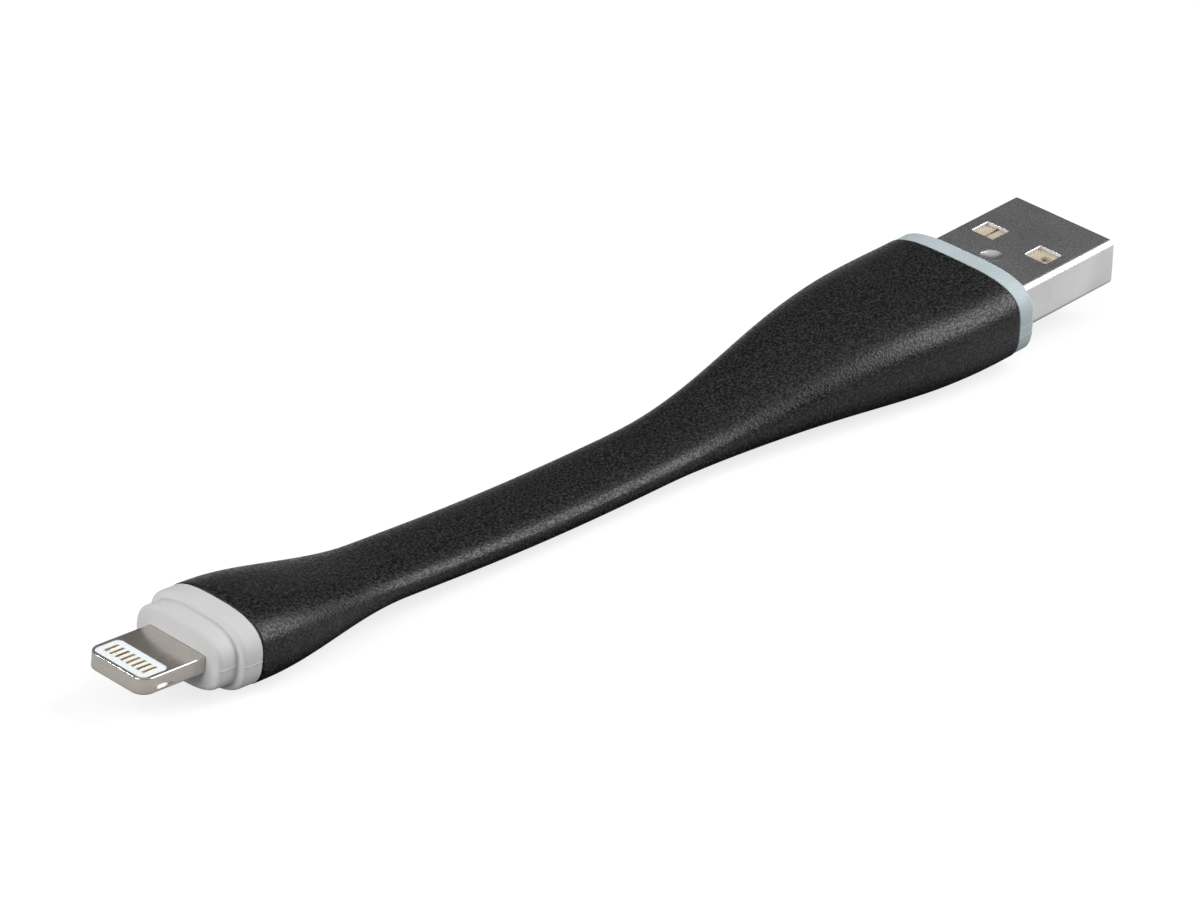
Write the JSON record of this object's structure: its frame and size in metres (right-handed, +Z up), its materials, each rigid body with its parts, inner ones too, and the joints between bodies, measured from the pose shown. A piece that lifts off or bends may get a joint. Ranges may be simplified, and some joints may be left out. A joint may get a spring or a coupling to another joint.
{
  "type": "charging cable",
  "caption": "Short one-piece moulded charging lead with a full-size host plug, a flat flexing neck and a thin reversible tab plug.",
  "frame": {"origin": "middle of the lead's underside on the plane it lies on: centre of the bounding box, at its bottom", "axes": "+X along the lead towards the host plug's tip, +Y across its width, +Z up; the lead lies on z = 0"},
  "size_m": [0.1162, 0.0164, 0.0087],
  "materials": {
    "shell_steel": "bright drawn sheet, finely brushed",
    "cream_plastic": "moulded, satin",
    "contact_gold": "thin gold plating",
    "solder": "cast, dull bright",
    "spring_steel": "stamped sheet",
    "natural_mould": "moulded, matt",
    "host_collar_plastic": "fine satin",
    "sleeve_rubber": "soft, fine grain",
    "jacket_plastic": "smooth, matt",
    "foil": "thin foil",
    "red_insulation": "extruded",
    "white_insulation": "extruded",
    "green_insulation": "extruded",
    "black_insulation": "extruded",
    "copper": "bare copper strands",
    "tinned_copper": "tinned strands",
    "fibre": "twisted yarn",
    "tab_nickel": "warm nickel, finely blasted",
    "tab_white": "moulded, semi-gloss",
    "board_green": "solder mask",
    "chip_black": "epoxy",
    "capacitor_tan": "ceramic",
    "resistor_black": "ceramic with dark coat",
    "can_metal": "tinned sheet",
    "device_collar_plastic": "fine satin"
  },
  "bodies": {
    "host_end": {"host_shell": "shell_steel", "host_tongue": "cream_plastic", "host_contact_power": "contact_gold", "host_contact_data_minus": "contact_gold", "host_contact_data_plus": "contact_gold", "host_contact_ground": "contact_gold", "host_crimp_clamp": "spring_steel", "host_solder_joints": "solder", "host_inner_mould": "natural_mould", "host_collar": "host_collar_plastic", "sleeve_host_grip": "sleeve_rubber", "cable_jacket": "jacket_plastic", "foil_shield": "foil", "wire_power_insulation": "red_insulation", "wire_data_minus_insulation": "white_insulation", "wire_data_plus_insulation": "green_insulation", "wire_ground_insulation": "black_insulation", "wire_power_core": "copper", "wire_data_minus_core": "copper", "wire_data_plus_core": "copper", "wire_ground_core": "copper", "drain_wire": "tinned_copper", "strength_fibre": "fibre"},
    "neck_1": {"sleeve_neck_1": "sleeve_rubber"},
    "neck_2": {"sleeve_neck_2": "sleeve_rubber"},
    "neck_3": {"sleeve_neck_3": "sleeve_rubber"},
    "neck_4": {"sleeve_neck_4": "sleeve_rubber"},
    "neck_5": {"sleeve_neck_5": "sleeve_rubber"},
    "neck_6": {"sleeve_neck_6": "sleeve_rubber"},
    "neck_7": {"sleeve_neck_7": "sleeve_rubber"},
    "neck_8": {"sleeve_neck_8": "sleeve_rubber"},
    "neck_9": {"sleeve_neck_9": "sleeve_rubber"},
    "device_end": {"tab_shell": "tab_nickel", "tab_carrier_top": "tab_white", "tab_carrier_bottom": "tab_white", "tab_contacts_top": "contact_gold", "tab_contacts_bottom": "contact_gold", "device_board": "board_green", "device_control_chip": "chip_black", "device_charge_switch": "chip_black", "device_capacitors": "capacitor_tan", "device_resistors": "resistor_black", "device_solder_joints": "solder", "device_can_top": "can_metal", "device_can_bottom": "can_metal", "device_inner_mould": "natural_mould", "device_collar": "device_collar_plastic", "sleeve_device_grip": "sleeve_rubber"}
  },
  "joints": [
    {"name": "neck_bend_6", "type": "hinge", "parent": "host_end", "child": "neck_1", "pos_m": [0.00476, 0, 0.00218], "axis": [0, 1, 0], "range_deg": [-20, 20], "stiffness_Nm_per_rad": 0.008, "deforming": ["sleeve_neck_1", "sleeve_neck_2", "sleeve_neck_3", "sleeve_neck_4", "sleeve_neck_5", "sleeve_neck_6", "sleeve_neck_7", "sleeve_neck_8", "sleeve_neck_9", "cable_jacket", "foil_shield", "wire_power_insulation", "wire_data_minus_insulation", "wire_data_plus_insulation", "wire_ground_insulation", "wire_power_core", "wire_data_minus_core", "wire_data_plus_core", "wire_ground_core", "drain_wire", "strength_fibre"]},
    {"name": "neck_sway_2", "type": "hinge", "parent": "neck_1", "child": "neck_2", "pos_m": [0.00116, 0, 0.00205], "axis": [-0.0208, 0, 0.9998], "range_deg": [-10, 10], "stiffness_Nm_per_rad": 0.008, "deforming": ["sleeve_neck_1", "sleeve_neck_2", "sleeve_neck_3", "sleeve_neck_4", "sleeve_neck_5", "sleeve_neck_6", "sleeve_neck_7", "sleeve_neck_8", "sleeve_neck_9", "cable_jacket", "foil_shield", "wire_power_insulation", "wire_data_minus_insulation", "wire_data_plus_insulation", "wire_ground_insulation", "wire_power_core", "wire_data_minus_core", "wire_data_plus_core", "wire_ground_core", "drain_wire", "strength_fibre"]},
    {"name": "neck_bend_5", "type": "hinge", "parent": "neck_2", "child": "neck_3", "pos_m": [-0.00244, 0, 0.00196], "axis": [0, 1, 0], "range_deg": [-20, 20], "stiffness_Nm_per_rad": 0.008, "deforming": ["sleeve_neck_1", "sleeve_neck_2", "sleeve_neck_3", "sleeve_neck_4", "sleeve_neck_5", "sleeve_neck_6", "sleeve_neck_7", "sleeve_neck_8", "sleeve_neck_9", "cable_jacket", "foil_shield", "wire_power_insulation", "wire_data_minus_insulation", "wire_data_plus_insulation", "wire_ground_insulation", "wire_power_core", "wire_data_minus_core", "wire_data_plus_core", "wire_ground_core", "drain_wire", "strength_fibre"]},
    {"name": "neck_twist_2", "type": "hinge", "parent": "neck_3", "child": "neck_4", "pos_m": [-0.00604, 0, 0.0019], "axis": [-1, 0, -0.0015], "range_deg": [-20, 20], "stiffness_Nm_per_rad": 0.008, "deforming": ["sleeve_neck_1", "sleeve_neck_2", "sleeve_neck_3", "sleeve_neck_4", "sleeve_neck_5", "sleeve_neck_6", "sleeve_neck_7", "sleeve_neck_8", "sleeve_neck_9", "cable_jacket", "foil_shield", "wire_power_insulation", "wire_data_minus_insulation", "wire_data_plus_insulation", "wire_ground_insulation", "wire_power_core", "wire_data_minus_core", "wire_data_plus_core", "wire_ground_core", "drain_wire", "strength_fibre"]},
    {"name": "neck_bend_4", "type": "hinge", "parent": "neck_4", "child": "neck_5", "pos_m": [-0.00964, 0, 0.00188], "axis": [0, 1, 0], "range_deg": [-20, 20], "stiffness_Nm_per_rad": 0.008, "deforming": ["sleeve_neck_1", "sleeve_neck_2", "sleeve_neck_3", "sleeve_neck_4", "sleeve_neck_5", "sleeve_neck_6", "sleeve_neck_7", "sleeve_neck_8", "sleeve_neck_9", "cable_jacket", "foil_shield", "wire_power_insulation", "wire_data_minus_insulation", "wire_data_plus_insulation", "wire_ground_insulation", "wire_power_core", "wire_data_minus_core", "wire_data_plus_core", "wire_ground_core", "drain_wire", "strength_fibre"]},
    {"name": "neck_bend_3", "type": "hinge", "parent": "neck_5", "child": "neck_6", "pos_m": [-0.01324, 0, 0.0019], "axis": [0, 1, 0], "range_deg": [-20, 20], "stiffness_Nm_per_rad": 0.008, "deforming": ["sleeve_neck_1", "sleeve_neck_2", "sleeve_neck_3", "sleeve_neck_4", "sleeve_neck_5", "sleeve_neck_6", "sleeve_neck_7", "sleeve_neck_8", "sleeve_neck_9", "cable_jacket", "foil_shield", "wire_power_insulation", "wire_data_minus_insulation", "wire_data_plus_insulation", "wire_ground_insulation", "wire_power_core", "wire_data_minus_core", "wire_data_plus_core", "wire_ground_core", "drain_wire", "strength_fibre"]},
    {"name": "neck_twist", "type": "hinge", "parent": "neck_6", "child": "neck_7", "pos_m": [-0.01684, 0, 0.00197], "axis": [-0.9996, 0, 0.0274], "range_deg": [-20, 20], "stiffness_Nm_per_rad": 0.008, "deforming": ["sleeve_neck_1", "sleeve_neck_2", "sleeve_neck_3", "sleeve_neck_4", "sleeve_neck_5", "sleeve_neck_6", "sleeve_neck_7", "sleeve_neck_8", "sleeve_neck_9", "cable_jacket", "foil_shield", "wire_power_insulation", "wire_data_minus_insulation", "wire_data_plus_insulation", "wire_ground_insulation", "wire_power_core", "wire_data_minus_core", "wire_data_plus_core", "wire_ground_core", "drain_wire", "strength_fibre"]},
    {"name": "neck_bend_2", "type": "hinge", "parent": "neck_7", "child": "neck_8", "pos_m": [-0.02044, 0, 0.00209], "axis": [0, 1, 0], "range_deg": [-20, 20], "stiffness_Nm_per_rad": 0.008, "deforming": ["sleeve_neck_1", "sleeve_neck_2", "sleeve_neck_3", "sleeve_neck_4", "sleeve_neck_5", "sleeve_neck_6", "sleeve_neck_7", "sleeve_neck_8", "sleeve_neck_9", "cable_jacket", "foil_shield", "wire_power_insulation", "wire_data_minus_insulation", "wire_data_plus_insulation", "wire_ground_insulation", "wire_power_core", "wire_data_minus_core", "wire_data_plus_core", "wire_ground_core", "drain_wire", "strength_fibre"]},
    {"name": "neck_sway", "type": "hinge", "parent": "neck_8", "child": "neck_9", "pos_m": [-0.02404, 0, 0.00226], "axis": [0.0407, 0, 0.9992], "range_deg": [-10, 10], "stiffness_Nm_per_rad": 0.008, "deforming": ["sleeve_neck_1", "sleeve_neck_2", "sleeve_neck_3", "sleeve_neck_4", "sleeve_neck_5", "sleeve_neck_6", "sleeve_neck_7", "sleeve_neck_8", "sleeve_neck_9", "cable_jacket", "foil_shield", "wire_power_insulation", "wire_data_minus_insulation", "wire_data_plus_insulation", "wire_ground_insulation", "wire_power_core", "wire_data_minus_core", "wire_data_plus_core", "wire_ground_core", "drain_wire", "strength_fibre"]},
    {"name": "neck_bend", "type": "hinge", "parent": "neck_9", "child": "device_end", "pos_m": [-0.02764, 0, 0.00243], "axis": [0, 1, 0], "range_deg": [-20, 20], "stiffness_Nm_per_rad": 0.008, "deforming": ["sleeve_neck_1", "sleeve_neck_2", "sleeve_neck_3", "sleeve_neck_4", "sleeve_neck_5", "sleeve_neck_6", "sleeve_neck_7", "sleeve_neck_8", "sleeve_neck_9", "cable_jacket", "foil_shield", "wire_power_insulation", "wire_data_minus_insulation", "wire_data_plus_insulation", "wire_ground_insulation", "wire_power_core", "wire_data_minus_core", "wire_data_plus_core", "wire_ground_core", "drain_wire", "strength_fibre"]}
  ],
  "couplings": [
    {"joint": "neck_bend_2", "follows": "neck_bend", "ratio": 1},
    {"joint": "neck_bend_3", "follows": "neck_bend", "ratio": 1},
    {"joint": "neck_bend_4", "follows": "neck_bend", "ratio": 1},
    {"joint": "neck_twist_2", "follows": "neck_twist", "ratio": 1},
    {"joint": "neck_bend_5", "follows": "neck_bend", "ratio": 1},
    {"joint": "neck_sway_2", "follows": "neck_sway", "ratio": 1},
    {"joint": "neck_bend_6", "follows": "neck_bend", "ratio": 1}
  ]
}
